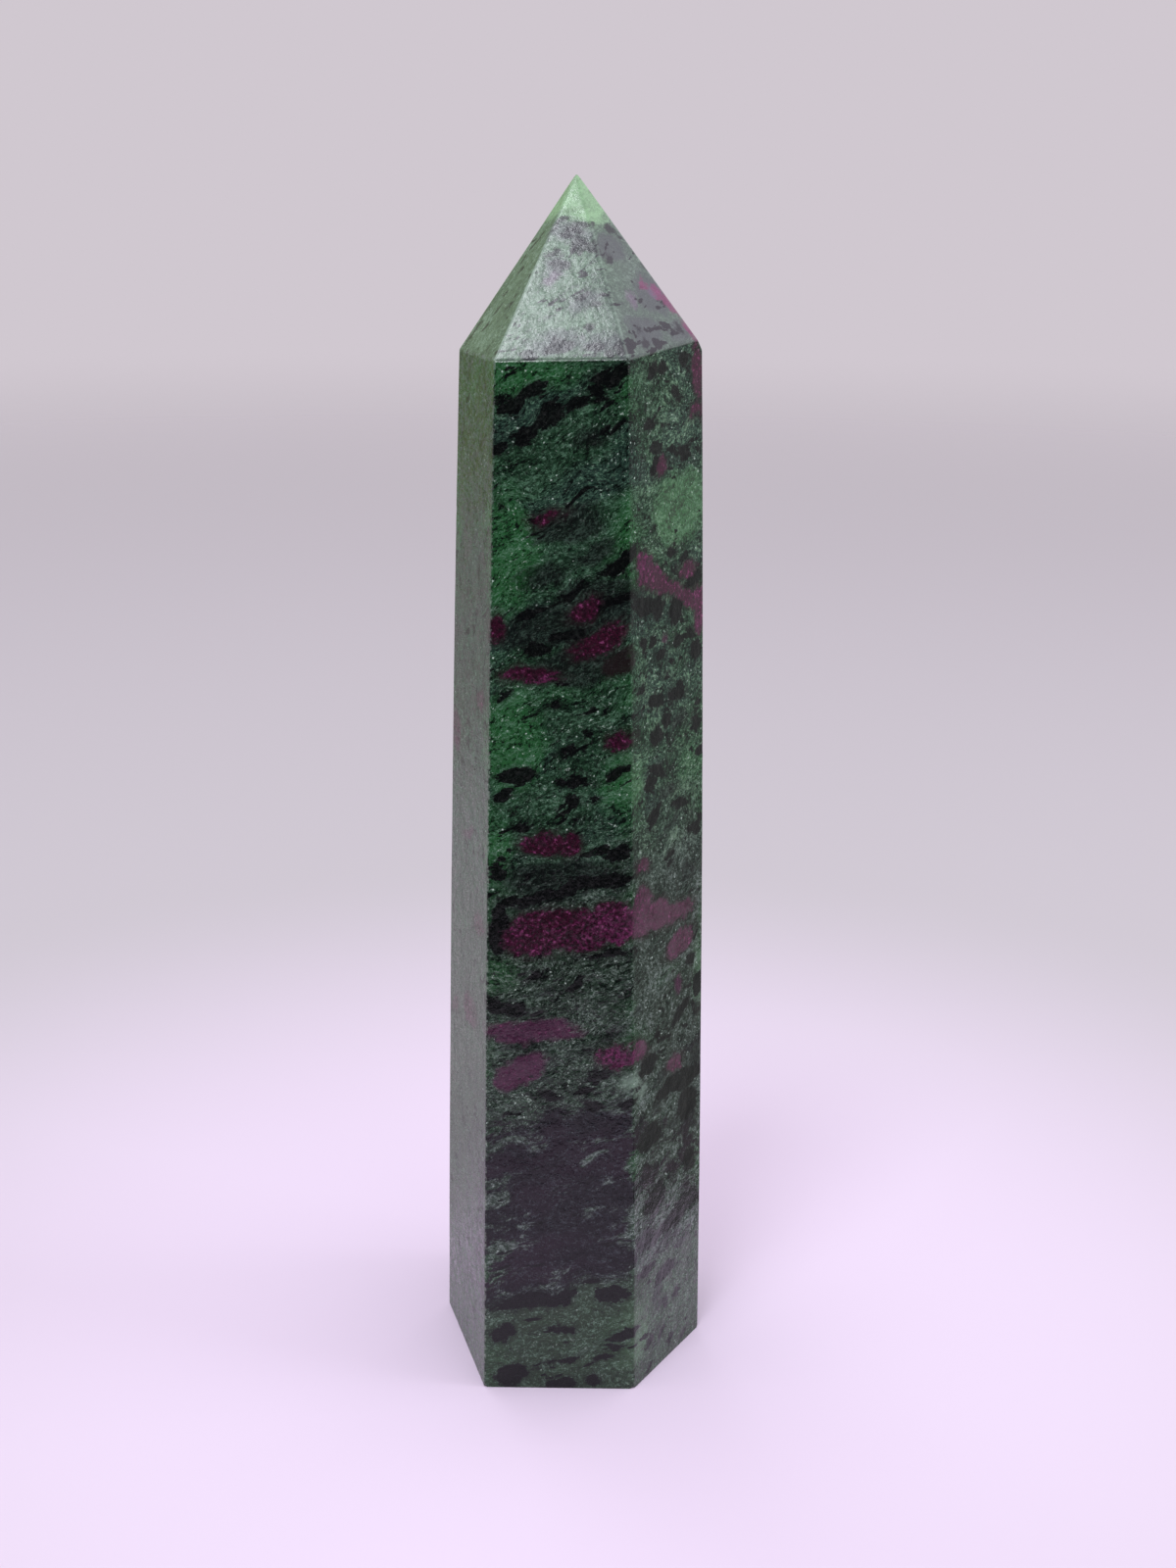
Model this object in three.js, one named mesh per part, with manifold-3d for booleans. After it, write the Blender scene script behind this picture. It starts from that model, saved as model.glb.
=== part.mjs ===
// A standing point, or tower, cut and polished from one piece of ruby in zoisite.
// Six leaning sides rise from a flat foot to a shoulder, where six tilted facets take over
// and meet in one tip. Millimetres, +Z up. The origin lies on the upright axis of the
// stone, in the plane that it stands on, and the widest front side faces -Y.

import * as THREE from 'three';
import { mergeVertices } from 'three/addons/utils/BufferGeometryUtils.js';
import Module from 'manifold-3d';

// Driving dimensions
const HEIGHT = 160; // from the foot to the blunted tip
const SHOULDER = 140; // height at which a side's shoulder distance is stated
const TIP = { x: -0.3, y: 0, blunted: 0.3 }; // where the facets meet, and how much of it is worn off
const ARRIS = 0.6; // width of the narrow flat polished along every edge

// The six sides, counter-clockwise seen from above. The stone was cut by hand, so no two are alike.
// turn: the way that a side faces, in degrees from +X towards +Y
// foot, shoulder: its distance from the upright axis at height 0 and at SHOULDER
// left, right: the heights at which the facet above it meets its two long edges, as seen by
// someone who faces that side
const SIDES = [
  { place: 'front', turn: -90, foot: 17.1, shoulder: 14.9, left: 139.1, right: 139.5 },
  { place: 'right', turn: -31.5, foot: 16.6, shoulder: 13.0, left: 139.5, right: 140.7 },
  { place: 'back right', turn: 22, foot: 16.6, shoulder: 14.7, left: 139.1, right: 139.1 },
  { place: 'back', turn: 84.5, foot: 16.7, shoulder: 14.0, left: 139.1, right: 139.1 },
  { place: 'back left', turn: 143.5, foot: 17.0, shoulder: 13.7, left: 139.1, right: 138.8 },
  { place: 'left', turn: 197, foot: 16.1, shoulder: 13.6, left: 138.8, right: 139.1 },
];

// The rough block that the point is cut from, and the size of the lap that grinds each plane
const ROUGH = { width: 60, height: 200 };
const LAP = 600;

const wasm = await Module();
wasm.setup();

// A plane of the cut stone is a THREE.Plane whose normal points out of the stone: a point p
// on it has normal.dot(p) + constant = 0.

// Side: its distance from the axis falls evenly from the foot to the shoulder.
function sidePlane({ turn, foot, shoulder }) {
  const angle = THREE.MathUtils.degToRad(turn);
  const normal = new THREE.Vector3(Math.cos(angle), Math.sin(angle), (foot - shoulder) / SHOULDER);
  const length = normal.length();
  return new THREE.Plane(normal.divideScalar(length), -foot / length);
}

// The point at a given height on the long edge that two neighbouring sides share
function edgePoint(a, b, height) {
  const right = a.constant + a.normal.z * height;
  const left = b.constant + b.normal.z * height;
  const spread = a.normal.x * b.normal.y - a.normal.y * b.normal.x;
  const x = (left * a.normal.y - right * b.normal.y) / spread;
  const y = (right * b.normal.x - left * a.normal.x) / spread;
  return new THREE.Vector3(x, y, height);
}

// Facet of the point: through the tip and its side's two long edges at the stated heights
function facetPlane(index, sides, tip) {
  const before = sides.at(index - 1);
  const after = sides[(index + 1) % sides.length];
  const left = edgePoint(before, sides[index], SIDES[index].left);
  const right = edgePoint(sides[index], after, SIDES[index].right);
  return new THREE.Plane().setFromCoplanarPoints(left, right, tip);
}

// Arris: the narrow flat that takes the sharpness off the edge between two planes. It leans
// halfway between them and lies as deep below the edge as gives it the width ARRIS.
function arrisPlane(a, b) {
  const normal = a.normal.clone().add(b.normal);
  const length = normal.length();
  const depth = (ARRIS / 2) * Math.tan(a.normal.angleTo(b.normal) / 2);
  return new THREE.Plane(normal.divideScalar(length), (a.constant + b.constant) / length + depth);
}

// three.js geometry to a manifold solid, with its shared vertices merged
function toSolid(geometry) {
  const bare = geometry.clone();
  bare.deleteAttribute('normal');
  bare.deleteAttribute('uv');
  const merged = mergeVertices(bare, 1e-4);
  const vertProperties = new Float32Array(merged.attributes.position.array);
  const triVerts = new Uint32Array(merged.index.array);
  return new wasm.Manifold(new wasm.Mesh({ numProp: 3, vertProperties, triVerts }));
}

// manifold solid back to three.js geometry
function toGeometry(solid) {
  const { vertProperties, triVerts } = solid.getMesh();
  const geometry = new THREE.BufferGeometry();
  geometry.setAttribute('position', new THREE.BufferAttribute(vertProperties, 3));
  geometry.setIndex(new THREE.BufferAttribute(triVerts, 1));
  return geometry;
}

// What a flat lap leaves of the stone: all that lies behind the plane. The keeper is a large
// box with the middle of its top face on the plane.
function grind(stone, plane) {
  const keeper = new THREE.BoxGeometry(LAP, LAP, LAP);
  keeper.translate(0, 0, -LAP / 2);
  const up = new THREE.Vector3(0, 0, 1);
  keeper.applyQuaternion(new THREE.Quaternion().setFromUnitVectors(up, plane.normal));
  const foot = plane.coplanarPoint(new THREE.Vector3());
  keeper.translate(foot.x, foot.y, foot.z);
  return stone.intersect(toSolid(keeper));
}

// Every plane of the finished point: foot, blunted tip, sides, facets and the arrises
function tower() {
  const ground = new THREE.Plane(new THREE.Vector3(0, 0, -1), 0);
  const blunt = new THREE.Plane(new THREE.Vector3(0, 0, 1), -HEIGHT);
  const tip = new THREE.Vector3(TIP.x, TIP.y, HEIGHT + TIP.blunted);
  const sides = SIDES.map(sidePlane);
  const facets = SIDES.map((side, index) => facetPlane(index, sides, tip));
  const arrises = sides.flatMap((side, index) => {
    const next = (index + 1) % sides.length;
    return [
      arrisPlane(side, sides[next]), // long edge
      arrisPlane(facets[index], facets[next]), // ridge up to the tip
      arrisPlane(side, facets[index]), // shoulder
      arrisPlane(side, ground), // foot
    ];
  });

  const rough = new THREE.BoxGeometry(ROUGH.width, ROUGH.width, ROUGH.height);
  rough.translate(0, 0, ROUGH.height / 2 - 1);
  const planes = [ground, blunt, ...sides, ...facets, ...arrises];
  return toGeometry(planes.reduce(grind, toSolid(rough)));
}

const polishedStone = new THREE.MeshStandardMaterial({
  name: 'polished_ruby_in_zoisite',
  color: 0x2f4a36,
  roughness: 0.24,
  metalness: 0,
});

const stone = new THREE.Mesh(tower(), polishedStone);
stone.name = 'ruby_zoisite_tower';

const part = new THREE.Group();
part.add(stone);

export default part;
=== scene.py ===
# %% [markdown]
# # A standing point of ruby in zoisite
#
# The object is one piece of rock, sawn and polished into a six-sided tower. Three minerals share
# it: green zoisite, a felt of fine fibres; black amphibole, in lenses that lie along the rock's
# streaking; and ruby, in crimson and purple patches. The shape is simple and exact, so most of
# the work below is in the stone itself: how its minerals are laid out in space, and how its
# polish takes the light.

import math

import bpy
import numpy as np
from mathutils import Matrix, Vector


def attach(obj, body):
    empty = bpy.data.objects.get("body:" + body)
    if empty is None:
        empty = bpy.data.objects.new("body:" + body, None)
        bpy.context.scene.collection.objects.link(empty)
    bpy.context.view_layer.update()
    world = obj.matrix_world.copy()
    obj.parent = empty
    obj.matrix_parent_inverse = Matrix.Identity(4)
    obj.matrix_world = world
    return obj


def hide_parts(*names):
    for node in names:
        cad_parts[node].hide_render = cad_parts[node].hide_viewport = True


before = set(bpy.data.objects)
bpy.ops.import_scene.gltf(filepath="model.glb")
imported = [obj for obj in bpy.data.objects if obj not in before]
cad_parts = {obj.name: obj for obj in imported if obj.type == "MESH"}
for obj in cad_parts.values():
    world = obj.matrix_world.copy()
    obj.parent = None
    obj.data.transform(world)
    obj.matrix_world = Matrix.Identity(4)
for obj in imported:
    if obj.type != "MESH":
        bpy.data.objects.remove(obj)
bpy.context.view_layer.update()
NODE = "ruby_zoisite_tower"
MM = 0.001  # Blender works in metres, the notes on this stone are in millimetres

# %% [markdown]
# ## The flat cuts
#
# A lapidary grinds a tower by holding it against a flat lap, once for each side. So thirteen
# planes say all there is to say about its form: a foot, six sides and six facets. They are read
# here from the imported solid, which keeps the fine surface below true to it. The narrow flats along
# the edges are left out, because the fine surface rounds its edges by itself.

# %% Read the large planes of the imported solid
SMALLEST_CUT = 120 * MM**2  # the facets are larger than this, the flats along the edges smaller


def flat_cuts(mesh):
    """Unit normals (n, 3) and distances (n,) of the large planes of a faceted solid, in mm.

    Triangles with the same normal, to two decimals, belong to one cut. The cut's plane is that
    of its largest triangle: distance = normal . centre.
    """
    count = len(mesh.polygons)
    normals = np.empty(count * 3)
    centres = np.empty(count * 3)
    areas = np.empty(count)
    mesh.polygons.foreach_get("normal", normals)
    mesh.polygons.foreach_get("center", centres)
    mesh.polygons.foreach_get("area", areas)
    normals = normals.reshape(-1, 3)
    centres = centres.reshape(-1, 3)
    _, group = np.unique(normals.round(2), axis=0, return_inverse=True)
    group = group.ravel()
    total = np.bincount(group, areas)
    largest = [
        max(np.flatnonzero(group == cut), key=lambda face: areas[face])
        for cut in np.flatnonzero(total > SMALLEST_CUT)
    ]
    chosen = normals[largest]
    return chosen, (chosen * centres[largest]).sum(1) / MM


def round_the_stone(cuts, chosen):
    """The chosen cuts in order, counter-clockwise from above, the front one (facing -Y) first.

    The turns are counted from -120 degrees, which lies between the left side and the front.
    """
    normals, distances = cuts[0][chosen], cuts[1][chosen]
    turn = np.arctan2(normals[:, 1], normals[:, 0])
    order = np.argsort((turn + math.radians(120)) % (2 * math.pi))
    return normals[order], distances[order]


cuts = flat_cuts(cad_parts[NODE].data)
sides = round_the_stone(cuts, np.abs(cuts[0][:, 2]) < 0.1)
facets = round_the_stone(cuts, (cuts[0][:, 2] > 0.3) & (cuts[0][:, 2] < 0.9))
FRONT, RIGHT, BACK_RIGHT, BACK, BACK_LEFT, LEFT = range(6)
print("sides face:", np.degrees(np.arctan2(sides[0][:, 1], sides[0][:, 0])).round(1), "degrees")

# %% [markdown]
# ## The camera
#
# The photograph was taken from a little above the tip, looking down at the stone from close by.
# The numbers come from the stone's own corners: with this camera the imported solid's outline falls
# on the photograph's to within a pixel.

# %% Camera
CAMERA_PLACE = Vector((3.02, -250.91, 160.94)) * MM
CAMERA_DOWN, CAMERA_LEFT, CAMERA_ROLL = 17.44, 0.28, 0.55  # degrees
FOCAL_PIXELS = 2004.7  # in the photograph's own frame, 1200 x 1600
FRAME_HEIGHT = 1600
SENSOR = 36.0

camera_data = bpy.data.cameras.new("camera")
camera_data.sensor_width = SENSOR
camera_data.lens = FOCAL_PIXELS / FRAME_HEIGHT * SENSOR
camera_data.clip_start = 0.01
camera = bpy.data.objects.new("camera", camera_data)
camera.matrix_world = (
    Matrix.Translation(CAMERA_PLACE)
    @ Matrix.Rotation(math.radians(CAMERA_LEFT), 4, "Z")
    @ Matrix.Rotation(math.radians(90 - CAMERA_DOWN), 4, "X")
    @ Matrix.Rotation(math.radians(CAMERA_ROLL), 4, "Z")
)
bpy.context.scene.collection.objects.link(camera)
bpy.context.scene.camera = camera
print("lens:", round(camera_data.lens, 1), "mm")

# %% [markdown]
# ## Writing materials as formulas
#
# A procedural material is a formula of the place on the stone. Written node by node, the formula
# is lost, so two small classes let it be written as Python: a `Flow` is a number that travels
# through the nodes, and adding or multiplying Flows adds the Math nodes that do it. A `Recipe` is
# the material's node tree, and its `add` makes any other node.

# %% Flow and Recipe
class Flow:
    """A value on its way through a material's nodes; arithmetic on it adds Math nodes."""

    def __init__(self, recipe, socket):
        self.recipe = recipe
        self.socket = socket

    def math(self, operation, *values):
        settings = {"operation": operation}
        return self.recipe.add("ShaderNodeMath", settings, dict(enumerate(values)))

    def __add__(self, other):
        return self.math("ADD", self, other)

    def __sub__(self, other):
        return self.math("SUBTRACT", self, other)

    def __mul__(self, other):
        return self.math("MULTIPLY", self, other)

    def __truediv__(self, other):
        return self.math("DIVIDE", self, other)

    def __radd__(self, other):
        return self.math("ADD", other, self)

    def __rsub__(self, other):
        return self.math("SUBTRACT", other, self)

    def __rmul__(self, other):
        return self.math("MULTIPLY", other, self)

    def __abs__(self):
        return self.math("ABSOLUTE", self)

    def or_more(self, other):
        """The larger of the two."""
        return self.math("MAXIMUM", self, other)

    def or_less(self, other):
        """The smaller of the two."""
        return self.math("MINIMUM", self, other)

    def rise(self, start, end):
        """0 up to start, 1 from end on, with a smooth S between; start may be the larger."""
        settings = {"interpolation_type": "SMOOTHSTEP"}
        return self.recipe.add("ShaderNodeMapRange", settings, {0: self, 1: start, 2: end})


class Recipe:
    """A material or world, and its node tree, emptied."""

    def __init__(self, holder):
        holder.use_nodes = True
        self.holder = holder
        self.tree = holder.node_tree
        self.tree.nodes.clear()

    def add(self, kind, settings, values, out=0):
        """A node of this kind, its settings made first, then its sockets filled or linked."""
        node = self.tree.nodes.new(kind)
        for name, value in settings.items():
            setattr(node, name, value)
        for socket, value in values.items():
            if isinstance(value, Flow):
                self.tree.links.new(value.socket, node.inputs[socket])
            else:
                node.inputs[socket].default_value = value
        return Flow(self, node.outputs[out])

    def finish(self, kind, shader):
        """The output node of this kind, which shows the shader."""
        output = self.tree.nodes.new(kind)
        self.tree.links.new(shader.socket, output.inputs["Surface"])
        return self.holder

    def vector(self, operation, *values, out=0):
        return self.add("ShaderNodeVectorMath", {"operation": operation}, dict(enumerate(values)), out)

    def noise(self, place, size, detail=2.0, roughness=0.5, out=0):
        """Cloudy noise, 0 to 1, whose swells are about size across. out=1 gives three at once."""
        values = {"Vector": place, "Scale": 1 / size, "Detail": detail, "Roughness": roughness}
        return self.add("ShaderNodeTexNoise", {}, values, out)

    def cells(self, place, size):
        """Loose grains about size across: the distance to the nearest grain's heart."""
        return self.add("ShaderNodeTexVoronoi", {}, {"Vector": place, "Scale": 1 / size})

    def blend(self, share, below, above):
        """The colour below where share is 0, the colour above where it is 1."""
        return self.add("ShaderNodeMix", {"data_type": "RGBA"}, {0: share, 6: below, 7: above}, out=2)


def paint(red, green, blue):
    """A colour as a paint chart gives it, 0 to 255 in sRGB, as the linear light that shaders use."""
    chart = np.array([red, green, blue]) / 255
    linear = np.where(chart <= 0.04045, chart / 12.92, ((chart + 0.055) / 1.055) ** 2.4)
    return (*linear.tolist(), 1.0)


print("the green of zoisite as linear light:", np.round(paint(40, 75, 50), 3))

# %% [markdown]
# ## The fine surface
#
# Hand lapping leaves a form that flat planes miss: each side bulges by a third of a millimetre,
# because the stone rocks a little on the lap; the edges are soft where the polishing cloth went
# over them; and small chips sit along them. The surface is worked out as a grid. Its columns run
# round the stone and crowd together at the six long edges, and its rows run from the middle of
# the foot, up the sides and over the facets to the tip. The sharp form is laid out first, and
# then every point sinks along the slope of a soft distance field until it lies on the polished
# surface. A subdivided and bevelled copy of the solid would do for the edges, but it could not
# carry the bulge and the chips as evenly.

# %% Sizes of the hand finish, in mm
BULGE = 0.3  # how far a side stands out at mid-height
SHOULDER = 140.0
LONG_EDGE = 0.085  # softness of the edges between two sides or two facets
CROSS_EDGE = 0.035  # softness of the shoulder and of the foot, which stayed crisp
RIPPLE = 0.03  # height of the slow waves that the lap left


def soft_largest(values, softness):
    """softness * log(sum(exp(values / softness))) over the last axis, and each value's share."""
    top = values.max(-1, keepdims=True)
    weight = np.exp((values - top) / softness)
    total = weight.sum(-1, keepdims=True)
    return top[..., 0] + softness * np.log(total[..., 0]), weight / total


def polished_distance(points):
    """How far points lie outside the polished stone, in mm, and the unit direction outwards.

    A plane's distance is normal . point - distance. The sides are joined softly with each other,
    and so are the facets; the two groups and the foot are then joined more crisply.
    """
    height = np.clip(points[..., 2] / SHOULDER, 0, 1)
    belly = BULGE * 4 * height * (1 - height)
    side, side_share = soft_largest(points @ sides[0].T - sides[1] - belly[..., None], LONG_EDGE)
    facet, facet_share = soft_largest(points @ facets[0].T - facets[1], LONG_EDGE)
    groups = np.stack([side, facet, -points[..., 2]], -1)
    distance, share = soft_largest(groups, CROSS_EDGE)
    down = np.array([0.0, 0.0, -1.0])
    slope = (
        share[..., 0:1] * (side_share @ sides[0])
        + share[..., 1:2] * (facet_share @ facets[0])
        + share[..., 2:3] * down
    )
    length = np.linalg.norm(slope, axis=-1, keepdims=True)
    return distance / length[..., 0], slope / length


# %% Lay out the sharp form as a grid
def crowded(count, strength):
    """count steps from 0 to 1, crowded at both ends: t - strength * sin(2 pi t) / (2 pi)."""
    t = np.linspace(0, 1, count, endpoint=False)
    return t - strength * np.sin(2 * np.pi * t) / (2 * np.pi)


def long_edge(side, height):
    """The sharp edge between a side and the one before it, at these heights: (..., 3) in mm."""
    before = (sides[0][side - 1], sides[1][side - 1])
    here = (sides[0][side], sides[1][side])
    a = before[1] - before[0][2] * height
    b = here[1] - here[0][2] * height
    spread = before[0][0] * here[0][1] - before[0][1] * here[0][0]
    x = (a * here[0][1] - b * before[0][1]) / spread
    y = (b * before[0][0] - a * here[0][0]) / spread
    return np.stack([x, y, height + 0 * x], -1)


def sharp_grid(columns, foot_rows, side_rows, tip_rows):
    """The sharp form as rows of points, (rows, columns, 3) in mm.

    A column is a share s of the way along a side, from one long edge to the next, at every
    height. The foot's rows run from its middle to its rim, the sides' rows from the rim to the
    height where the column meets the lowest facet plane, and the tip's rows from there to the tip.
    """
    share = np.tile(crowded(columns, 0.965), 6)[:, None]
    side = np.repeat(np.arange(6), columns)
    rim = [long_edge(k % 6, np.zeros(1)) for k in range(7)]
    top = [long_edge(k % 6, np.full(1, SHOULDER)) for k in range(7)]
    rim = np.concatenate(rim)
    top = np.concatenate(top)
    foot = rim[side] * (1 - share) + rim[side + 1] * share
    upper = top[side] * (1 - share) + top[side + 1] * share
    rise = upper - foot
    reach = (facets[1] - foot @ facets[0].T) / (rise @ facets[0].T)
    shoulder = foot + rise * reach.min(1, keepdims=True)
    tip = np.linalg.lstsq(facets[0], facets[1], rcond=None)[0]
    u = crowded(foot_rows, 0.0)[:, None, None] ** 0.5
    v = crowded(side_rows, 0.93)[:, None, None]
    w = (crowded(tip_rows, 0.5)[:, None, None]) * 0.995
    rows = [foot * u, foot + (shoulder - foot) * v, shoulder + (tip - shoulder) * w]
    return np.concatenate(rows)[1:], tip


COLUMNS, FOOT_ROWS, SIDE_ROWS, TIP_ROWS = 44, 18, 240, 70
grid, tip = sharp_grid(COLUMNS, FOOT_ROWS, SIDE_ROWS, TIP_ROWS)
print("grid of", grid.shape[:2], "points; the facets meet at", tip.round(2))

# %% Sink the grid onto the polished surface
for _ in range(6):
    distance, outwards = polished_distance(grid)
    grid = grid - distance[..., None] * outwards
distance, outwards = polished_distance(grid)
print("left over after sinking:", float(np.abs(distance).max().round(5)), "mm")

# %% Ripples of the lap and chips along the edges
CHIPS = (
    # side whose first long edge it sits on, height, size, how far its middle lies outside
    (1, 0.0, 0.75, 0.42),
    (1, 1.9, 0.45, 0.27),
    (0, 0.0, 0.55, 0.25),
    (0, 62.0, 0.40, 0.26),
    (1, 104.5, 0.45, 0.30),
    (1, 139.3, 0.45, 0.26),
    (2, 86.0, 0.34, 0.24),
    (2, 0.0, 0.60, 0.35),
    (3, 138.9, 0.60, 0.36),
    (4, 31.0, 0.60, 0.40),
    (5, 118.0, 0.45, 0.30),
    (5, 0.0, 0.50, 0.30),
)


def ripple(points):
    """Slow waves over the stone, -1 to 1: a sum of sines along slanting directions, (n,)."""
    waves = np.random.default_rng(7).normal(0, 1, (9, 3))
    waves /= np.linalg.norm(waves, axis=1, keepdims=True)
    lengths = np.linspace(9, 34, len(waves))[:, None]
    phases = np.arange(len(waves)) * 2.4
    return np.sin(points @ (waves * 2 * np.pi / lengths).T + phases).mean(-1)


def chip_away(points, side, height, size, outside):
    """Points inside a chip's ball move out to its surface, away from its middle: a shell-like scar.

    The middle lies straight out from the long edge, and lower at the foot or higher at the
    shoulder, so that the scar there takes the corner.
    """
    edge = long_edge(side, np.array(float(height)))
    away = sides[0][side - 1] + sides[0][side]
    away[2] = 0.0
    if height < 1:
        away[2] = -0.7
    elif height > SHOULDER - 2:
        away[2] = 0.5
    middle = edge + away / np.linalg.norm(away) * outside
    offset = points - middle
    far = np.linalg.norm(offset, axis=-1, keepdims=True)
    return np.where(far < size, middle + offset / far * size, points)


is_wall = np.clip(grid[..., 2:3] / 2.0, 0, 1)  # the foot stays flat
grid = grid + outwards * ripple(grid)[..., None] * RIPPLE * is_wall
for chip in CHIPS:
    grid = chip_away(grid, *chip)
grid[..., 2] = np.maximum(grid[..., 2], 0.0)
print("chips:", len(CHIPS), " lowest and highest row:", grid[..., 2].min(), grid[..., 2].max().round(2))

# %% Put the grid into a closed mesh
def closed_skin(name, rows, bottom, top):
    """A mesh of the rows, each a closed loop of points, with one point at each pole. In metres."""
    count, around = rows.shape[:2]
    corner = np.arange(count * around).reshape(count, around)
    beside = np.roll(corner, -1, axis=1)
    quads = np.stack([corner[:-1], beside[:-1], beside[1:], corner[1:]], -1).reshape(-1, 4)
    low_pole = count * around
    caps_low = np.stack([beside[0], corner[0], np.full(around, low_pole)], -1)
    caps_high = np.stack([corner[-1], beside[-1], np.full(around, low_pole + 1)], -1)
    points = np.concatenate([rows.reshape(-1, 3), [bottom], [top]]) * MM
    mesh = bpy.data.meshes.new(name)
    mesh.from_pydata(points, [], quads.tolist() + caps_low.tolist() + caps_high.tolist())
    mesh.polygons.foreach_set("use_smooth", np.ones(len(mesh.polygons), bool))
    mesh.update()
    return mesh


peak = np.array([*grid[-1, :, :2].mean(0), grid[-1, :, 2].max() + 0.02])
skin = closed_skin("polished_tower", grid, np.zeros(3), peak)
tower = bpy.data.objects.new("polished_tower", skin)
bpy.context.scene.collection.objects.link(tower)
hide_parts(NODE)
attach(tower, "root")
print("triangles:", sum(len(face.vertices) - 2 for face in skin.polygons))

# %% [markdown]
# ## How the minerals lie
#
# The rock was squeezed and sheared, so everything in it is drawn out along slanting sheets. A
# height `streak` that is level along those sheets gives them: it climbs to the right on the front
# and a little more steeply towards the tip. Noise read in coordinates that are squeezed across
# the sheets and stretched along them comes out as lenses and streaks, as it does in the rock.

# %% Coordinates of the rock
rock = Recipe(bpy.data.materials.new("polished_ruby_in_zoisite"))
object_place = rock.add("ShaderNodeTexCoord", {}, {}, out="Object")
place = rock.vector("MULTIPLY", object_place, (1 / MM,) * 3)  # millimetres

swirl = rock.noise(place, 6.0, detail=1.0, out=1)
crumple = rock.noise(place, 1.3, detail=3.0, roughness=0.6, out=1)
moved = rock.vector("MULTIPLY_ADD", rock.vector("SUBTRACT", swirl, (0.5,) * 3), (3.0,) * 3, place)
ragged = rock.vector("MULTIPLY_ADD", rock.vector("SUBTRACT", crumple, (0.5,) * 3), (1.5,) * 3, moved)


def axes(vector):
    """The x, y and z of a vector, as three Flows."""
    split = rock.tree.nodes.new("ShaderNodeSeparateXYZ")
    rock.tree.links.new(vector.socket, split.inputs[0])
    return [Flow(rock, output) for output in split.outputs]


def joined(x, y, z):
    return rock.add("ShaderNodeCombineXYZ", {}, {0: x, 1: y, 2: z})


x, y, z = axes(moved)
streak = z - x * (0.25 + 0.0023 * z) + 0.22 * y  # mm, level along the rock's sheets
lensed = joined(x / 2.6, y / 1.8, streak)

# %% [markdown]
# ## What depends on the cuts
#
# A few things follow the cut surface and not the rock. Light that passes through the thin corner
# along a long edge is painted in as an emerald glow; the ridges of the point get a painted
# highlight; the facets have a duller finish than the sides; and the left side is grazed all over
# with fine scuffs, and painted with a mottled sheen. The same thirteen planes tell how near a
# place lies to each of them.

# %% How near a place lies to the cuts
EDGE_GLOW = 1.7  # mm that light reaches in from a long edge
RIDGE_HIGHLIGHT_REACH = 0.22  # mm that the painted highlight reaches in from a ridge of the point


def outside(planes, number):
    """How far the place lies outside one plane, in mm: negative inside the stone."""
    normal, distance = planes[0][number], planes[1][number]
    return rock.vector("DOT_PRODUCT", place, normal, out="Value") - distance


share_up = axes(place)[2] / SHOULDER
belly_here = share_up * (1 - share_up) * (4 * BULGE)

# The sum of exp(distance / reach) over the sides is 1 on one side and 2 where two meet, so less
# 1 it says how near a long edge is. It is the same for the facets and the ridges between them.
near_edge = -1.0
near_ridge = -1.0
nearest_facet = -99.0
for number in range(6):
    deep = (outside(sides, number) - belly_here) / EDGE_GLOW
    near_edge = near_edge + deep.math("EXPONENT", deep)
    over = outside(facets, number)
    near_ridge = near_ridge + over.math("EXPONENT", over / RIDGE_HIGHLIGHT_REACH)
    nearest_facet = over.or_more(nearest_facet)
on_facet = nearest_facet.rise(-0.20, -0.04)
on_left = (outside(sides, LEFT) - belly_here).rise(-0.24, -0.10)
print("nodes so far, for the coordinates and the cuts:", len(rock.tree.nodes))

# %% [markdown]
# ## Placing what the eye remembers
#
# Noise alone makes a stone of this kind, but not this stone. So the patches that one remembers
# are placed one by one, as ellipsoids half sunk in a side: each has the side it shows on, its
# place across and up that side, its half length and half height, and its tilt. They read the
# ragged coordinates, which turns their outlines into natural ones, and being solid they run round
# the edges as real grains do.

# %% Ellipsoids in the rock
walls = [np.concatenate([below, above]) for below, above in zip(sides, facets)]
FRONT_FACET, RIGHT_FACET, LEFT_FACET = 6 + FRONT, 6 + RIGHT, 6 + LEFT


def side_axes(side):
    """Unit vectors along the side to the viewer's right, up the side, and out of it."""
    out = Vector(walls[0][side])
    across = Vector((-out.y, out.x, 0)).normalized()
    return across, out.cross(across), out


def on_side(side, across, height):
    """The point on a side, so many mm right of the axis's own foot on it and so high up."""
    normal, distance = walls[0][side], walls[1][side]
    level = np.hypot(normal[0], normal[1])
    reach = (distance - normal[2] * height) / level**2
    return Vector((
        normal[0] * reach - normal[1] / level * across,
        normal[1] * reach + normal[0] / level * across,
        height,
    ))


REACH = 3.0  # a grain's field is followed out to three times its own half axes


def listed(grains):
    """The grains of a table as one list, each with the side it shows on.

    A table holds each side's grains: across, height, half length, half height, tilt.
    """
    return [(side, *grain) for side, group in grains.items() for grain in group]


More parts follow.
